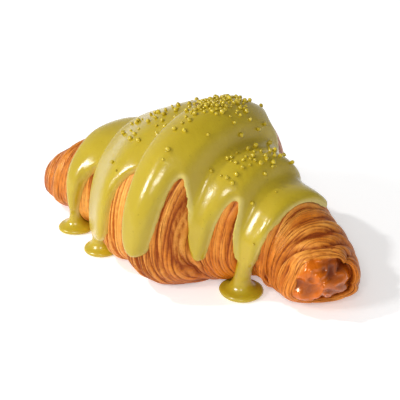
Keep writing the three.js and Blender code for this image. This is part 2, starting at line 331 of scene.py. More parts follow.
# %% Where the knob begins, and its blisters
ragged = unevenness(around / (2 * np.pi) * 17 % 17, share * 4 + 3, 26, across=17)
knob_from = 0.97 - 0.24 * low_far - near**2 * (0.05 + 0.28 * ragged)
knob = smoothstep(knob_from - share, 0, 0.05 + 0.05 * near)
across, down = share * np.cos(around), share * np.sin(around)
swell = unevenness(across * 3.1 + down * 1.2 + 20, down * 3.1 - across * 1.2 + 20, 27) - 0.5
fold = 0.5 - np.abs(unevenness(across * 4.6 + 40, down * 4.6 + 40, 22) * 2 - 1)
pucker = unevenness(across * 8 + down * 3 + 60, down * 8 - across * 3 + 60, 24) - 0.5
wrinkle = (2.4 * swell + 0.9 * fold + 0.5 * pucker) * knob
print("blisters stand", round(float(wrinkle.max() - wrinkle.min()), 1), "mm from low to high")

# %% Carry the sections on over the knob
rolled = np.sin(steps * 4.4 + around) * (1 - knob)
out = stand - dip + wrinkle * 1.3 + 0.18 * rolled
heart = centre + (1 - share[..., None]) * KNOB_SHIFT
cap = heart + (rim[None] - centre) * share[..., None] + ahead * out[..., None]
points = np.concatenate([dough_points, cap])
points[..., 2] = np.maximum(points[..., 2], 0)
print("knob stands", round(float(out.max()), 1), "mm past the last section")

# %% Values for the finish
# painted shade: the rim's hollows, the groove round the knob and the hollows between the blisters
# get a higher groove value, which the finish paints darker
rim_groove = (0.18 - 0.28 * rolled) * (1 - knob)
cap_groove = np.clip(rim_groove + dip * 0.45 + knob * (0.25 - wrinkle * 0.7), 0, 1)
# browner towards both tips, in patches and along the foot; paler on the rib crests and darker
# between the ribs, a painted highlight and painted shade
toast_and_rib_shading = 0.2 + 0.6 * smoothstep(X, -16, 24)
toast_and_rib_shading += 0.3 * (skin_unevenness(X, TURN, 12, 12, 23) - 0.5)
toast_and_rib_shading += 0.5 * (skin_unevenness(across_sheets, TURN, 2.3, 5, 25) - 0.5)
# the relief term paints a highlight on the rib crests and shade between them
toast_and_rib_shading += 0.3 - 0.55 * smoothstep(relief, -0.9, 1.1) + 0.75 * smoothstep(-X, 50, 70)
toast_and_rib_shading += 0.2 * smoothstep(X, 24, 50) + 0.6 * smoothstep(-dough_points[..., 2], -9, -1)
# the lowest few millimetres, next to the table, are darkened as in a groove
groove = np.clip(groove + 0.35 * smoothstep(-dough_points[..., 2], -4, -0.5), 0, 1)
values = {
    "groove": np.concatenate([groove, cap_groove]),
    "toast_and_rib_shading": np.concatenate([toast_and_rib_shading, np.full_like(knob, 0.7)]),
    "caramel": np.concatenate([np.zeros_like(X), knob]),
}
cap_sheets = across_sheets[-1][None] + steps * 0.9
sheets = np.concatenate([across_sheets, cap_sheets])
round_it = [np.tile(turned, (len(sheets), 1)) for turned in (np.cos(around), np.sin(around))]
places = {"sheets": np.stack([sheets, *round_it], -1)}
print("mean groove", round(float(groove.mean()), 2), "mean toast", round(float(toast_and_rib_shading.mean()), 2))

# %% [markdown]
# ## Closing the dough
# The net closes to a point at each end, so the dough is one solid. The mesh carries the
# values for the finish, and a map of its own, because an automatic map would cut the ribbed
# skin into many small islands.

# %% Close a net into a mesh
def mesh_from_net(name, points, start, end):
    """A closed mesh from rings of points (mm) and a point at each end."""
    rings, spokes = points.shape[:2]
    flat = np.concatenate([points.reshape(-1, 3), start[None], end[None]]) * MM
    i, j = np.meshgrid(np.arange(rings - 1), np.arange(spokes), indexing="ij")
    k = (j + 1) % spokes
    here, beyond = i * spokes, (i + 1) * spokes
    quads = np.stack([here + j, here + k, beyond + k, beyond + j], -1)
    faces = quads.reshape(-1, 4).tolist()
    first, last = rings * spokes, rings * spokes + 1
    for n in range(spokes):
        m = (n + 1) % spokes
        faces.append((first, m, n))
        faces.append((last, (rings - 1) * spokes + n, (rings - 1) * spokes + m))
    mesh = bpy.data.meshes.new(name)
    mesh.from_pydata(flat.tolist(), [], faces)
    mesh.shade_smooth()
    return mesh


nose = dough_points[0].mean(0) - np.array([1, 0, 0])
tip = centre + KNOB_SHIFT + ahead * 9.0
dough_mesh = mesh_from_net("flaky_dough", points, nose, tip)
print("dough is closed at", np.round(nose, 1), "and", np.round(tip, 1))

# %% Give the mesh its values and its map
def carry_values(mesh, values, places):
    """Values on the mesh's points, and places (three numbers each), from nets of them."""
    for key, data in values.items():
        made = mesh.attributes.new(key, "FLOAT", "POINT")
        data = np.concatenate([data.reshape(-1), [data[0].mean(), data[-1].mean()]])
        made.data.foreach_set("value", data.astype(np.float32))
    for key, data in places.items():
        made = mesh.attributes.new(key, "FLOAT_VECTOR", "POINT")
        data = np.concatenate([data.reshape(-1, 3), [data[0, 0], data[-1, 0]]])
        made.data.foreach_set("vector", data.reshape(-1).astype(np.float32))


def unroll_map(mesh, rings, spokes):
    """A map of the skin unrolled flat, to bake the finish on."""
    i, j = np.meshgrid(np.arange(rings - 1), np.arange(spokes), indexing="ij")
    n = np.arange(spokes)
    right = np.concatenate([
        np.stack([i, i, i + 1, i + 1], -1).reshape(-1) / (rings - 1),
        np.tile([0, 0, 0, 1, 1, 1], spokes)])
    up = np.concatenate([
        np.stack([j, j + 1, j + 1, j], -1).reshape(-1),
        np.stack([n + 0.5, n + 1, n, n + 0.5, n, n + 1], -1).reshape(-1)]) / spokes
    flat_map = np.stack([right * 0.98 + 0.01, up * 0.98 + 0.01], -1)
    mesh.uv_layers.new(name="OFBake").data.foreach_set(
        "uv", flat_map.reshape(-1).astype(np.float32))


carry_values(dough_mesh, values, places)
unroll_map(dough_mesh, *points.shape[:2])
print("values on the mesh:", *values, *places)

# %% Put the dough in the scene
def add_to_scene(name, data):
    """A new object in the scene."""
    made = bpy.data.objects.new(name, data)
    bpy.context.scene.collection.objects.link(made)
    return made


dough = add_to_scene("flaky_dough", dough_mesh)
print("dough faces:", len(dough.data.polygons))

# %% [markdown]
# ## Shared finish effects
# Dough, glaze and crumbs all vary in colour from place to place and all have a fine grain.
# Each effect is a node group with its own inputs, built once and placed in each material
# with that material's values. The groups give values only, and the shaders stay outside.
# "baked_mottle" is a soft cloud of light and dark, "fine_grain" is a fine speckle, and
# "sheet_lines" draws thin lines along the sheets of dough, counted across them.

# %% Node helpers
def new_group(name, inputs, outputs):
    """A node group with named sockets. inputs and outputs are (name, type, default)."""
    group = bpy.data.node_groups.new(name, "ShaderNodeTree")
    for sockets, direction in ((inputs, "INPUT"), (outputs, "OUTPUT")):
        for socket_name, kind, default in sockets:
            socket = group.interface.new_socket(socket_name, in_out=direction, socket_type=kind)
            if default is not None:
                socket.default_value = default
    return group, group.nodes.new("NodeGroupInput"), group.nodes.new("NodeGroupOutput")


def set_inputs(node, values):
    """Plain values on a node's inputs, by name."""
    for key, value in values.items():
        node.inputs[key].default_value = value


def maths(tree, operation, a, b, clamp=False):
    """A Math node fed by sockets or numbers."""
    node = tree.nodes.new("ShaderNodeMath")
    node.operation = operation
    node.use_clamp = clamp
    for socket, value in zip(node.inputs, (a, b)):
        if isinstance(value, (int, float)):
            socket.default_value = value
        else:
            tree.links.new(value, socket)
    return node.outputs[0]


def fitted(tree, value, scale, offset):
    """value * scale + offset, held between 0 and 1."""
    socket = maths(tree, "MULTIPLY_ADD", value, scale, clamp=True)
    socket.node.inputs[2].default_value = offset
    return socket


def mix_colour(tree, factor, a, b):
    """A colour mix fed by sockets or values."""
    node = tree.nodes.new("ShaderNodeMix")
    node.data_type = "RGBA"
    for socket, value in ((node.inputs[0], factor), (node.inputs[6], a), (node.inputs[7], b)):
        if isinstance(value, bpy.types.NodeSocket):
            tree.links.new(value, socket)
        else:
            socket.default_value = value if isinstance(value, float) else (*value, 1)
    return node.outputs[2]


print("node helpers are ready")

# %% Mottle group
mottle_group, mottle_in, mottle_out = new_group(
    "baked_mottle",
    [("Place", "NodeSocketVector", None), ("Size", "NodeSocketFloat", 100.0),
     ("Contrast", "NodeSocketFloat", 1.0)],
    [("Mottle", "NodeSocketFloat", None)],
)
blotch = mottle_group.nodes.new("ShaderNodeTexNoise")
set_inputs(blotch, {"Detail": 4})
mottle_group.links.new(mottle_in.outputs["Place"], blotch.inputs["Vector"])
mottle_group.links.new(mottle_in.outputs["Size"], blotch.inputs["Scale"])
centred = maths(mottle_group, "SUBTRACT", blotch.outputs[0], 0.5)
spread = maths(mottle_group, "MULTIPLY", centred, mottle_in.outputs["Contrast"])
mottle_group.links.new(maths(mottle_group, "ADD", spread, 0.5, clamp=True), mottle_out.inputs[0])
print("group:", mottle_group.name)

# %% Grain group
grain_group, grain_in, grain_out = new_group(
    "fine_grain",
    [("Place", "NodeSocketVector", None), ("Size", "NodeSocketFloat", 1500.0)],
    [("Grain", "NodeSocketFloat", None)],
)
speck = grain_group.nodes.new("ShaderNodeTexNoise")
set_inputs(speck, {"Detail": 3})
grain_group.links.new(grain_in.outputs["Place"], speck.inputs["Vector"])
grain_group.links.new(grain_in.outputs["Size"], speck.inputs["Scale"])
grain_group.links.new(speck.outputs[0], grain_out.inputs[0])
print("group:", grain_group.name)

# %% [markdown]
# ## Lines along the sheets
# The cut ends of the thinnest sheets are too fine for the mesh, so they are lines in the
# material, where they darken the colour as painted shade and dip the bump. The mesh carries a
# place counted across the sheets, so stripes of it follow every bend of the ribs. A wave of even
# stripes would look combed, so the count drifts with a noise that is stretched along the sheets.
# The noise comes out too, to fade some lines.

# %% Sheet lines group
lines_group, lines_in, lines_out = new_group(
    "sheet_lines",
    [("Place", "NodeSocketVector", None), ("Lines", "NodeSocketFloat", 1.0),
     ("Wander", "NodeSocketFloat", 2.0), ("Length", "NodeSocketFloat", 1.0)],
    [("Thread", "NodeSocketFloat", None), ("Line", "NodeSocketFloat", None)],
)
split = lines_group.nodes.new("ShaderNodeSeparateXYZ")
lines_group.links.new(lines_in.outputs["Place"], split.inputs[0])
gather = lines_group.nodes.new("ShaderNodeCombineXYZ")
for index, key in enumerate(("Lines", "Length", "Length")):
    scaled = maths(lines_group, "MULTIPLY", split.outputs[index], lines_in.outputs[key])
    lines_group.links.new(scaled, gather.inputs[index])
threads = lines_group.nodes.new("ShaderNodeTexNoise")
set_inputs(threads, {"Scale": 1, "Detail": 1})
lines_group.links.new(gather.outputs[0], threads.inputs["Vector"])
lines_group.links.new(threads.outputs[0], lines_out.inputs["Thread"])
drift = maths(lines_group, "MULTIPLY", threads.outputs[0], lines_in.outputs["Wander"])
across_lines = maths(lines_group, "MULTIPLY", split.outputs[0], lines_in.outputs["Lines"])
count = maths(lines_group, "ADD", across_lines, drift)
from_line = maths(lines_group, "PINGPONG", count, 0.5)
lines_group.links.new(fitted(lines_group, from_line, -4.0, 1), lines_out.inputs["Line"])
print("group:", lines_group.name)

# %% [markdown]
# ## Baked crust
# Egg-washed crust is golden. Its highest ribs are painted paler, a painted highlight, the crust
# below them browner and the lines between the sheets deep red-brown, both painted shade. It is
# toasted darker at both tips and along the foot, where the hot tray was. The mesh carries how
# toasted each point is, with the ribs' painted highlight and shade in the same value, how deep
# in a groove and how caramelised. These values pick the colours, the mottle shifts them from
# place to place, and fine flecks and thin lines break them up; the thin lines are painted shade
# too. The wash gives a satin shine, tinted warm as the brown skin tints it. The knob at the tip
# is caramel, so it gets a thin clear coat as well, and its hollows and the groove round it are
# painted darker as shade. Painting the crust from a picture would be quicker, but would not
# follow the ribs.

# %% Material helpers
def place_group(tree, group, place, **values):
    """Puts a group in a material, fed with the surface's own place."""
    node = tree.nodes.new("ShaderNodeGroup")
    node.node_tree = group
    tree.links.new(place, node.inputs["Place"])
    set_inputs(node, values)
    return node.outputs[0]


def start_material(name):
    """A material, its Principled shader and the socket that gives the place on the piece."""
    material = bpy.data.materials.new(name)
    material.use_nodes = True
    tree = material.node_tree
    shader = next(n for n in tree.nodes if n.type == "BSDF_PRINCIPLED")
    place = tree.nodes.new("ShaderNodeTexCoord").outputs["Object"]
    return material, tree, shader, place


def add_bump(tree, shader, height, strength, distance):
    """Bump from a height, where 1 stands for the distance in metres."""
    bump = tree.nodes.new("ShaderNodeBump")
    set_inputs(bump, {"Strength": strength, "Distance": distance})
    tree.links.new(height, bump.inputs["Height"])
    tree.links.new(bump.outputs[0], shader.inputs["Normal"])


def attribute(tree, name, output="Fac"):
    """A value that the mesh carries, point by point."""
    node = tree.nodes.new("ShaderNodeAttribute")
    node.attribute_name = name
    return node.outputs[output]


print("material helpers are ready")

# %% Colours of the crust
crust, tree, shader, place = start_material("baked_crust")
blotch = place_group(tree, mottle_group, place, Size=42.0, Contrast=1.7)
streak = place_group(tree, mottle_group, place, Size=200.0, Contrast=1.8)
groove_value = attribute(tree, "groove")
caramel_value = attribute(tree, "caramel")
uneven_toast = maths(tree, "SUBTRACT", blotch, 0.5)
# toast with the painted highlight and painted shade of the ribs, shifted by the mottle
toast_rib_shading_mix = maths(tree, "ADD", attribute(tree, "toast_and_rib_shading"), uneven_toast, clamp=True)
golden = mix_colour(tree, streak, (0.97, 0.53, 0.125), (0.86, 0.35, 0.045))
brown = mix_colour(tree, streak, (0.78, 0.235, 0.016), (0.48, 0.105, 0.007))
ridge = mix_colour(tree, toast_rib_shading_mix, golden, brown)
# deep red-brown for the grooves and thin lines: painted shade
deep = mix_colour(tree, toast_rib_shading_mix, (0.48, 0.110, 0.006), (0.26, 0.040, 0.001))
# caramel, painted darker in the knob's hollows and groove as shade
caramel_and_shade = mix_colour(tree, groove_value, (0.60, 0.125, 0.002), (0.15, 0.018, 0.001))
print("crust nodes so far:", len(tree.nodes))

# %% Lines and flecks of the crust
sheet_place = attribute(tree, "sheets", "Vector")
thread = place_group(tree, lines_group, sheet_place, Lines=1.3, Wander=2.4, Length=1.1)
thin_line = thread.node.outputs["Line"]
thread_share = fitted(tree, thread, -3.0, 1.9)
lines = maths(tree, "MULTIPLY", thin_line, maths(tree, "MULTIPLY", thread_share, 0.9))
fleck = place_group(tree, mottle_group, place, Size=560.0, Contrast=2.0)
off_ridge = maths(tree, "MULTIPLY", maths(tree, "SUBTRACT", fleck, 0.5), 0.42)
# grooves and thin lines take the deep colour, painted shade
in_groove = maths(tree, "ADD", maths(tree, "ADD", groove_value, lines), off_ridge)
flaky_shaded = mix_colour(tree, fitted(tree, in_groove, 1.3, -0.12), ridge, deep)
tree.links.new(mix_colour(tree, caramel_value, flaky_shaded, caramel_and_shade), shader.inputs["Base Color"])
print("crust nodes so far:", len(tree.nodes))

# %% Shine and relief of the crust
dull = fitted(tree, groove_value, 0.45, 0.28)
shine = maths(tree, "MULTIPLY", caramel_value, -0.28)
tree.links.new(maths(tree, "ADD", dull, shine, clamp=True), shader.inputs["Roughness"])
tree.links.new(maths(tree, "MULTIPLY", caramel_value, 0.3), shader.inputs["Coat Weight"])
grain = place_group(tree, grain_group, place, Size=1800.0)
fleck_dips = maths(tree, "MULTIPLY", fleck, 0.3)
rough_skin = maths(tree, "SUBTRACT", fitted(tree, grain, 0.25, 0.0), fleck_dips)
relief_height = maths(tree, "SUBTRACT", rough_skin, maths(tree, "MULTIPLY", lines, 0.6))
off_knob = maths(tree, "SUBTRACT", 1.0, maths(tree, "MULTIPLY", caramel_value, 0.9))
add_bump(tree, shader, maths(tree, "MULTIPLY", relief_height, off_knob), 1.0, 0.0006)
set_inputs(shader, {
    "Coat Roughness": 0.06, "Specular IOR Level": 0.5, "Specular Tint": (1.0, 0.72, 0.42, 1)})
dough.data.materials.append(crust)
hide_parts("baked_dough")
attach(dough, "root")
print("crust nodes:", len(tree.nodes))

# %% [markdown]
# ## Where the glaze ran
# Poured glaze covers the top, and its lower edge hangs in drips with high notches between.
# The edge on each side is a smooth table again: a place along the roll, and how many degrees
# round the roll from its top the glaze comes there. Steep rows make the sides of a drip.

# %% The glaze's edges
GLAZE_FROM, GLAZE_TO = -55.5, 54
FRONT_EDGE = smooth_table(np.array([
    [-55.5, 60], [-52.3, 82], [-51, 96], [-48.9, 102], [-46.8, 98], [-45.4, 85], [-43, 68],
    [-38, 54], [-36, 56], [-33.5, 66], [-32, 78], [-30.6, 93], [-27.5, 101], [-22, 102], [-16, 99],
    [-12.2, 93], [-10.8, 83], [-9.7, 70], [-8, 61], [-4.5, 54], [0.5, 49],
    [2.4, 60], [3.6, 74], [5, 86], [7.5, 93], [11, 95], [14.6, 93], [16.8, 84], [18.2, 68],
    [19.4, 50], [20.8, 43], [22.8, 50], [24.2, 68], [24.9, 90], [26.2, 101], [28, 104], [30, 100],
    [31.4, 89], [33.8, 62], [36.6, 42], [38, 38], [39.1, 50], [39.6, 80], [40.3, 100],
    [42.8, 108], [45.2, 105], [47.4, 95], [50, 76], [52.4, 56], [54, 36],
]))
BACK_EDGE = smooth_table(np.array([
    [-55.5, 60], [-51.5, 68], [-49, 83], [-46, 88], [-43.2, 82], [-40.6, 67], [-35, 57],
    [-26, 64], [-21.5, 82], [-19.5, 94], [-17.5, 97], [-15.2, 92], [-12.6, 78], [-8.5, 62],
    [-5, 55], [-1.5, 60], [0.5, 74], [3, 82], [5.6, 76], [8, 56], [12, 41], [18, 38],
    [22.5, 47], [26, 60], [27.6, 74], [29.5, 80], [31.6, 74], [34.5, 57], [39.5, 48],
    [43.4, 64], [45.4, 82], [47.2, 88], [49.2, 80], [51.2, 60], [54, 44],
]))
# the drips that stand proud of the coat: place, half width, and height of the bead at the end
FRONT_DRIPS = [(-49, 3.6, 0), (-22, 9, 0.2), (10.5, 7, 0.8), (27.8, 3.6, 0.8), (43.5, 4.4, 0)]
BACK_DRIPS = [(-46, 4.1, 0.8), (-17.5, 5, 0.8), (3, 4.4, 0.8), (29.5, 3.7, 0.8), (47, 4.1, 0.8)]
columns = np.linspace(GLAZE_FROM, GLAZE_TO, 480)
front = FRONT_EDGE(columns)[:, 0]
back = -BACK_EDGE(columns)[:, 0]
print("longest drip comes", round(front.max()), "degrees round")

# %% [markdown]
# ## Thickness of the glaze
# Surface tension rounds the glaze's edge like a bead of water: its thickness climbs quickly
# over the first few millimetres from the edge and then stays level. In a drip it stands
# thicker, and in a valley between wraps it fills part of the hollow.

# %% Net for the poured coat
ROWS = 160
GX = np.repeat(columns[:, None], ROWS, 1)
GPHI = np.radians(back[:, None] + (front - back)[:, None] * np.linspace(0, 1, ROWS)[None])
on_dough = roll_point(GX, GPHI)
print("net for the coat:", GX.shape)

# %% How far each point is from the glaze's edge
close = np.linspace(GLAZE_FROM, GLAZE_TO, 9000)
edge_points = np.concatenate([
    roll_point(close, np.radians(FRONT_EDGE(close)[:, 0])),
    roll_point(close, -np.radians(BACK_EDGE(close)[:, 0])),
    on_dough[0], on_dough[-1]])
edge_tree = KDTree(len(edge_points))
for index, point in enumerate(edge_points):
    edge_tree.insert(point, index)
edge_tree.balance()
from_edge = np.array([edge_tree.find(p)[2] for p in on_dough.reshape(-1, 3)]).reshape(GX.shape)
print("furthest from the edge:", round(float(from_edge.max()), 1), "mm")

# %% Thickness of the coat
ROUND_EDGE = 2.4  # how far from its edge the glaze reaches its full thickness
COAT_THICK, DRIP_STANDS, INTO_DOUGH = 2.7, 1.5, -1.5


def drip_bulge(x, degrees, edge, drips):
    """Extra thickness down the middle of the drips, and in the bead at a drip's end."""
    below = smoothstep(degrees, 42, 72)
    at_end = np.exp(-(((edge - 9 - degrees) / 10) ** 2))
    bulge = np.zeros_like(x)
    for at, half, bead in drips:
        across = np.clip(1 - ((x - at) / (half * 1.3)) ** 4, 0, 1)
        bulge = np.maximum(bulge, (DRIP_STANDS + bead * at_end) * below * across)
    return bulge


degrees = np.degrees(GPHI)
bulge = np.where(
    degrees > 0,
    drip_bulge(GX, degrees, front[:, None], FRONT_DRIPS),
    drip_bulge(GX, -degrees, -back[:, None], BACK_DRIPS))
full = COAT_THICK + bulge + 0.5 * (unevenness(GX / 9, GPHI * 3 + 20, 31) - 0.5)
rounded = np.sqrt(np.clip(1 - (1 - np.clip(from_edge / ROUND_EDGE, 0, 1)) ** 2, 0, 1))
thick = full * (0.18 + 0.82 * rounded)
outer = roll_point(GX, GPHI, thick)
inner = roll_point(GX, GPHI, INTO_DOUGH)
print("coat is at most", round(float(thick.max()), 1), "mm thick")

# %% Make the poured coat
def slab_mesh(name, outer, inner):
    """A closed sheet between two nets of points (mm)."""
    n, m = outer.shape[:2]
    count = n * m
    i, j = np.meshgrid(np.arange(n - 1), np.arange(m - 1), indexing="ij")
    a = (i * m + j).reshape(-1)
    faces = np.concatenate([
        np.stack([a, a + 1, a + m + 1, a + m], -1),
        np.stack([a, a + m, a + m + 1, a + 1], -1) + count,
    ]).tolist()
    for k in range(n - 1):
        low, high = k * m, k * m + m - 1
        faces.append((low + m, low + m + count, low + count, low))
        faces.append((high, high + count, high + m + count, high + m))
    for k in range(m - 1):
        last = (n - 1) * m + k
        faces.append((k, k + count, k + 1 + count, k + 1))
        faces.append((last + 1, last + 1 + count, last + count, last))
    mesh = bpy.data.meshes.new(name)
    flat = np.concatenate([outer.reshape(-1, 3), inner.reshape(-1, 3)]) * MM
    mesh.from_pydata(flat.tolist(), [], faces)
    return mesh


coat = slab_mesh("poured_coat", outer, inner)
print("coat points:", len(coat.vertices))

# %% [markdown]
# ## Pools
# Where a drip reaches the table it spreads into a round pool with a rolled edge, and the
# column that feeds it flares out like the foot of a glass. Each is a profile turned round
# an upright line.

# %% Turned shapes for the pools
# place, radius, radius of the column, the column's top, and how far it leans by there
POOLS = [
    (-50.5, -24.5, 8, 2.5, 13, (1.5, -2)),
    (-28, -30, 8, 3.4, 15.5, (1, -3.5)),
    (39.5, -14.5, 9.5, 3.6, 17, (3.2, -1.2)),
]
POOL_THICK = 2.4


def turned_mesh(name, x, y, lean, profile, sides=64):
    """A closed turned shape from a profile of (radius, height) that starts and ends on its
    axis, which leans over towards its top."""
    angle = np.arange(sides) / sides * 2 * np.pi
    wobble = 1 + 0.03 * np.sin(angle * 2 + x) + 0.02 * np.sin(angle * 3 + y)
    rows = []
    for radius, height in profile[1:-1]:
        reach = radius * wobble
        level = np.full(sides, height)
        rows.append(np.stack([x + reach * np.cos(angle), y + reach * np.sin(angle), level], -1))
    ends = [[x, y, profile[0][1]], [x, y, profile[-1][1]]]
    points = np.concatenate([np.array(rows).reshape(-1, 3), ends])
    points[:, :2] += np.array(lean) * smoothstep(points[:, 2:], POOL_THICK, profile[-1][1])
    points *= MM
    faces = []
    last = len(rows) - 1
    for k in range(sides):
        m = (k + 1) % sides
        faces.append((len(rows) * sides, m, k))
        faces.append((len(rows) * sides + 1, last * sides + k, last * sides + m))
        for r in range(last):
            faces.append((r * sides + k, r * sides + m, (r + 1) * sides + m, (r + 1) * sides + k))
    mesh = bpy.data.meshes.new(name)
    mesh.from_pydata(points.tolist(), [], faces)
    return mesh


print("pools are", POOL_THICK, "mm thick")

# %% Make the pools and columns
pool_meshes = []
for x, y, radius, neck, top, lean in POOLS:
    profile = [
        (0, 0), (radius - 1.0, 0), (radius - 0.2, 0.35), (radius, POOL_THICK * 0.42),
        (radius - 0.3, POOL_THICK * 0.75), (radius - 1.1, POOL_THICK * 0.98),
        (radius * 0.66, POOL_THICK * 1.12), (neck + 1.9, POOL_THICK * 1.4),
        (neck + 0.7, POOL_THICK * 2.0), (neck, POOL_THICK * 3), (neck, top * 0.8),
        (neck * 0.9, top), (neck * 0.5, top + 1.2), (0, top + 1.6),
    ]
    pool_meshes.append(turned_mesh("pool", x, y, lean, profile))
print("pools:", len(pool_meshes))

# %% [markdown]
# ## One skin of glaze
# The coat, the columns and the pools are one liquid, so they must be one surface with soft
# fillets where they meet. The pieces are put in one mesh, remade on a fine grid so that
# they fuse, and smoothed a few times, which rounds every joint as surface tension does. The
# mesh then notes how near each point is to the glaze's edge, for the finish.

# %% Join meshes and apply modifiers
def points_of(mesh):
    """The mesh's points, three numbers each."""
    co = np.zeros(len(mesh.vertices) * 3)
    mesh.vertices.foreach_get("co", co)
    return co.reshape(-1, 3)


def joined(name, meshes):
    """One mesh holding the given meshes."""
    points, faces, start = [], [], 0
    for mesh in meshes:
        points.append(points_of(mesh))
        faces += [[v + start for v in polygon.vertices] for polygon in mesh.polygons]
        start += len(mesh.vertices)
    whole = bpy.data.meshes.new(name)
    whole.from_pydata(np.concatenate(points).tolist(), [], faces)
    return whole


def applied(piece):
    """The piece's mesh with its modifiers applied."""
    bpy.context.view_layer.update()
    shown = piece.evaluated_get(bpy.context.evaluated_depsgraph_get())
    mesh = bpy.data.meshes.new_from_object(shown)
    piece.modifiers.clear()
    return mesh


print("mesh helpers are ready")

# %% Fuse and smooth the glaze
FUSE_GRID = 0.66 * MM
glaze = add_to_scene("pistachio_glaze_coat", joined("glaze_parts", [coat, *pool_meshes]))
remesh = glaze.modifiers.new("fuse", "REMESH")
remesh.mode = "VOXEL"
remesh.voxel_size = FUSE_GRID
soften = glaze.modifiers.new("surface_tension", "SMOOTH")
soften.factor = 0.5
soften.iterations = 12
glaze.data = applied(glaze)
glaze.data.name = "pistachio_glaze_coat"
co = points_of(glaze.data)
co[:, 2] = np.maximum(co[:, 2], 0)
glaze.data.vertices.foreach_set("co", co.reshape(-1))
glaze.data.shade_smooth()
print("glaze faces:", len(glaze.data.polygons), "lowest", round(float(co[:, 2].min()) * 1000, 2))

# %% Note where the glaze's edge is
near_edge = 1 - smoothstep(np.array([edge_tree.find(p)[2] for p in co / MM]), 0.8, 2.6)
edge_value = glaze.data.attributes.new("near_edge", "FLOAT", "POINT")
edge_value.data.foreach_set("value", near_edge.astype(np.float32))
print("share of points near the edge:", round(float((near_edge > 0.5).mean()), 2))

# %% [markdown]
# ## Pistachio glaze
# The glaze is white chocolate and ground pistachio: an opaque yellow green, smooth and
# glossy, faintly rippled, a little paler here and there, with specks of ground nut. A little
# light enters the surface and softens its shading, so the shader has some subsurface
# scattering. A clear coat could give the gloss too, but a low roughness does it with one
# layer. Where the glaze thins out at its edge, the pale dough lights it from below, so it is
# paler there.

# %% Make the glaze finish
pistachio, tree, shader, place = start_material("pistachio_glaze")
cloud = place_group(tree, mottle_group, place, Size=45.0, Contrast=1.8)
nut = place_group(tree, grain_group, place, Size=900.0)
body = mix_colour(tree, cloud, (0.525, 0.390, 0.020), (0.425, 0.302, 0.010))
specks = fitted(tree, nut, 9.0, -5.9)
thin_edge = maths(tree, "MULTIPLY", attribute(tree, "near_edge"), 0.55)
body = mix_colour(tree, thin_edge, body, (0.74, 0.62, 0.20))
tree.links.new(mix_colour(tree, specks, body, (0.36, 0.26, 0.01)), shader.inputs["Base Color"])
tree.links.new(fitted(tree, cloud, 0.10, 0.17), shader.inputs["Roughness"])
ripple = place_group(tree, mottle_group, place, Size=230.0, Contrast=1.4)
add_bump(tree, shader, ripple, 0.22, 0.0006)
set_inputs(shader, {
    "Subsurface Weight": 0.12, "Subsurface Radius": (1.0, 0.7, 0.2), "Subsurface Scale": 0.002})
glaze.data.materials.clear()
glaze.data.materials.append(pistachio)
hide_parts("pistachio_glaze")
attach(glaze, "root")
print("glaze nodes:", len(tree.nodes))

# %% [markdown]
# ## Crumbs
# Golden crumbs of sugar and nut stick where they fell. The coarse ones lie where the packed
# crumbs are, pressed a little into the glaze. Finer ones are scattered between them. Each
# is a small ball pushed out of true, with a tone of its own.

# %% Balls for the crumbs
glaze_surface = BVHTree.FromPolygons(
    [v.co for v in glaze.data.vertices], [p.vertices for p in glaze.data.polygons])


def ball_parts(levels):
    """Points and triangles of a round ball."""
    mesh = bpy.data.meshes.new("ball")
    work = bmesh.new()
    bmesh.ops.create_icosphere(work, subdivisions=levels, radius=1)
    work.to_mesh(mesh)
    work.free()
    return points_of(mesh), [list(p.vertices) for p in mesh.polygons]


def crumb_mesh(name, crumbs, levels, seed):
    """All crumbs of one kind in one mesh. crumbs is a list of (centre, radius)."""
    ball, triangles = ball_parts(levels)
    rng = np.random.default_rng(seed)
    points, faces, tones = [], [], []
    for number, (at, radius) in enumerate(crumbs):
        lumps = sum(
            0.07 * np.sin(ball @ rng.normal(size=3) * 2.2 + rng.random() * 6) for _ in range(3))
        stretch = 1 + 0.16 * (rng.random(3) - 0.5)
        points.append(np.array(at) + ball * (1 + lumps)[:, None] * stretch * radius)
        faces += [[v + number * len(ball) for v in t] for t in triangles]
        tones.append(np.full(len(ball), rng.random()))
    mesh = bpy.data.meshes.new(name)
    mesh.from_pydata(np.concatenate(points).tolist(), [], faces)
    mesh.shade_smooth()
    tone_value = mesh.attributes.new("tone", "FLOAT", "POINT")
    tone_value.data.foreach_set("value", np.concatenate(tones).astype(np.float32))
    return add_to_scene(name, mesh)


print("ball has", len(ball_parts(2)[0]), "points")

# %% Coarse crumbs
coarse = []
for name in crumb_nodes:
    low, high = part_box(name)
    middle = (low + high) / 2
    radius = (high - low).length / 2 / math.sqrt(3)
    hit, normal, _index, _distance = glaze_surface.find_nearest(middle)
    radius *= 1.05
    coarse.append((hit + normal * radius * 0.6, radius))
coarse_crumbs = crumb_mesh("coarse_crumbs", coarse, 3, 41)
mean_radius = sum(radius for _, radius in coarse) / len(coarse)
print("coarse crumbs:", len(coarse), "mean radius mm", round(mean_radius / MM, 2))

# %% Fine crumbs
FINE_APART = 1.5 * MM
rng = np.random.default_rng(42)
# tries, place along the roll and its spread, degrees round it and their spread
drifts = [(330, 9, 5.5, -5, 10), (36, 33, 7, 4, 20), (24, -14, 12, 10, 18), (24, 8, 26, 20, 30)]
fine = []
taken = [np.array(c) for c, _ in coarse]
for count, x, spread_x, phi, spread_phi in drifts:
    for _ in range(count):
        px = x + spread_x * rng.normal() * 0.8
        pa = math.radians(phi + spread_phi * rng.normal() * 0.8)
        start = Vector(roll_point(px, pa, 14) * MM)
        aim = Vector(roll_point(px, pa, -10) * MM) - start
        hit, normal, _index, _distance = glaze_surface.ray_cast(start, aim.normalized(), 0.03)
        if hit is None:
            continue
        radius = (0.45 + 0.55 * rng.random() ** 1.2) * MM
        if min(np.linalg.norm(np.array(hit) - t) for t in taken) < FINE_APART:
            continue
        fine.append((hit + normal * radius * 0.5, radius))
        taken.append(np.array(hit))
fine_crumbs = crumb_mesh("fine_crumbs", fine, 2, 43)
print("fine crumbs:", len(fine))
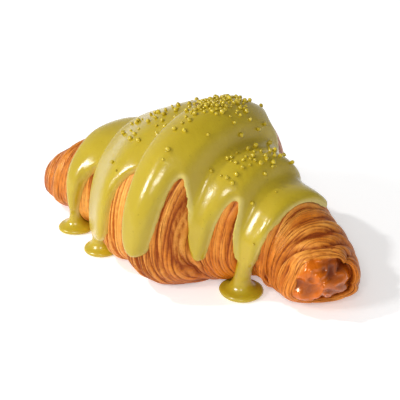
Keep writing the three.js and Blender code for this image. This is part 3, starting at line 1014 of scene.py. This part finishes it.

# %% [markdown]
# ## Golden crumbs
# Sugar and nut crumbs are yellow gold, glossy where the sugar melted and gritty where it did
# not, and no two have the same tone. The mesh gives each crumb one random tone. It blends two
# golds, and makes the very few with the highest tone almost black-brown. One finish serves both
# sizes.

# %% Make the crumbs' finish
golden_crumb, tree, shader, place = start_material("golden_crumb")
tone = attribute(tree, "tone")
grit = place_group(tree, mottle_group, place, Size=900.0, Contrast=1.5)
light_dark = mix_colour(tree, tone, (0.88, 0.69, 0.040), (0.62, 0.46, 0.016))
gritty = mix_colour(tree, grit, light_dark, (0.36, 0.25, 0.008))
# the very few crumbs with the highest tone are made almost black-brown
darkest_few = fitted(tree, tone, 60.0, -58.8)
crumb_colour = mix_colour(tree, darkest_few, gritty, (0.10, 0.035, 0.008))
tree.links.new(crumb_colour, shader.inputs["Base Color"])
tree.links.new(fitted(tree, grit, 0.2, 0.12), shader.inputs["Roughness"])
add_bump(tree, shader, place_group(tree, grain_group, place, Size=2500.0), 0.3, 0.0002)
for piece in (coarse_crumbs, fine_crumbs):
    piece.data.materials.append(golden_crumb)
    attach(piece, "root")
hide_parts(*crumb_nodes)
print("crumb nodes replaced:", len(crumb_nodes))

# %% [markdown]
# ## Table and surroundings
# The croissant stands on a plain pale table in soft studio light. The table glows a little,
# as a lit tabletop does, which keeps it white and fills the shadows. Pale surroundings fill
# in the rest, and are darker above and on the right behind, so the glaze has a darker side.

# %% Table
table = add_to_scene("table", bpy.data.meshes.new("table"))
table.data.from_pydata([(-3, -3, 0), (3, -3, 0), (3, 3, 0), (-3, 3, 0)], [], [(0, 1, 2, 3)])
table_finish, tree, shader, place = start_material("pale_table")
set_inputs(shader, {
    "Base Color": (0.96, 0.96, 0.96, 1), "Roughness": 0.6, "Specular IOR Level": 0.2,
    "Emission Color": (1, 1, 1, 1), "Emission Strength": 0.34})
table.data.materials.append(table_finish)
print("table is 6 m square")

# %% Surroundings
def direction_to(azimuth, elevation):
    """A unit vector from angles in degrees. Azimuth 0 is the front, -Y, and 90 is +X."""
    a, e = math.radians(azimuth), math.radians(elevation)
    return Vector((math.sin(a) * math.cos(e), -math.cos(a) * math.cos(e), math.sin(e)))


DARK_SIDE = (direction_to(140, 0) + Vector((0, 0, 1.1))).normalized()
world = bpy.data.worlds.new("studio")
bpy.context.scene.world = world
world.use_nodes = True
sky = world.node_tree
looking = sky.nodes.new("ShaderNodeTexCoord").outputs["Generated"]


def darker_towards(direction, low, high, left):
    """1 away from a direction, down to the share that is left in it."""
    along = sky.nodes.new("ShaderNodeVectorMath")
    along.operation = "DOT_PRODUCT"
    sky.links.new(looking, along.inputs[0])
    along.inputs[1].default_value = direction
    fall = sky.nodes.new("ShaderNodeMapRange")
    fall.interpolation_type = "SMOOTHSTEP"
    set_inputs(fall, {"From Min": low, "From Max": high, "To Min": 1.0, "To Max": left})
    sky.links.new(along.outputs["Value"], fall.inputs["Value"])
    return fall.outputs[0]


darker_above = darker_towards((0, 0, 1), 0.05, 0.85, 0.62)
darker_behind = darker_towards(DARK_SIDE, 0.35, 0.95, 0.4)
shade = maths(sky, "MULTIPLY", darker_above, darker_behind)
sky.links.new(shade, sky.nodes["Background"].inputs["Color"])
set_inputs(sky.nodes["Background"], {"Strength": 0.66})
print("surroundings have", len(sky.nodes), "nodes")

# %% [markdown]
# ## Lights
# One small box on the left throws the clear shadow to the right. A larger one in front fills
# the light on the drips. Bright patches on a glossy glaze come from windows, which are bigger
# than lamps, so both boxes are hidden from reflections and two windows are added. The left one
# is seen only in reflections: it draws the patches and leaves the shading as it is.

# %% Lights
def soft_box(name, azimuth, elevation, distance, size, power):
    """An area light on a sphere round the croissant, facing it."""
    light = bpy.data.lights.new(name, "AREA")
    light.shape = "RECTANGLE"
    light.size, light.size_y = size
    light.energy = power
    box = add_to_scene(name, light)
    direction = direction_to(azimuth, elevation)
    box.location = Vector((0, 0, 0.03)) + direction * distance
    box.rotation_euler = direction.to_track_quat("Z", "Y").to_euler()
    return box


key = soft_box("key_box", -50, 49, 1.4, (0.06, 0.06), 6.1)
key.visible_glossy = False
fill = soft_box("left_fill", -16, 31, 1.3, (0.28, 0.28), 5.9)
fill.visible_glossy = False
window = soft_box("left_window", -20, 33, 1.3, (0.40, 0.34), 15.0)
window.visible_diffuse = False
soft_box("right_window", 34, 36, 1.3, (0.24, 0.24), 4.2)

# %% [markdown]
# ## Camera
# A long lens from a little above looks along the roll from its blunt end, so that the wraps
# are seen one behind the other without being stretched.

# %% Camera
AZIMUTH, ELEVATION, DISTANCE = 44, 27, 0.598
LENS = 126.5
towards = direction_to(AZIMUTH, ELEVATION)
right = direction_to(AZIMUTH + 90, 0)
up = towards.cross(right)
MIDDLE = Vector((0, 0, 0.0276))
stand = MIDDLE + towards * DISTANCE
aim = MIDDLE + right * 0.00157 - up * 0.00408
camera_data = bpy.data.cameras.new("camera")
camera_data.lens = LENS
camera_data.sensor_width = 36
camera_data.clip_start = 0.01
camera = add_to_scene("camera", camera_data)
camera.location = stand
camera.rotation_euler = (stand - aim).to_track_quat("Z", "Y").to_euler()
bpy.context.scene.camera = camera
bpy.context.scene.view_settings.view_transform = "Standard"
print("camera stands at", [round(v, 3) for v in stand])
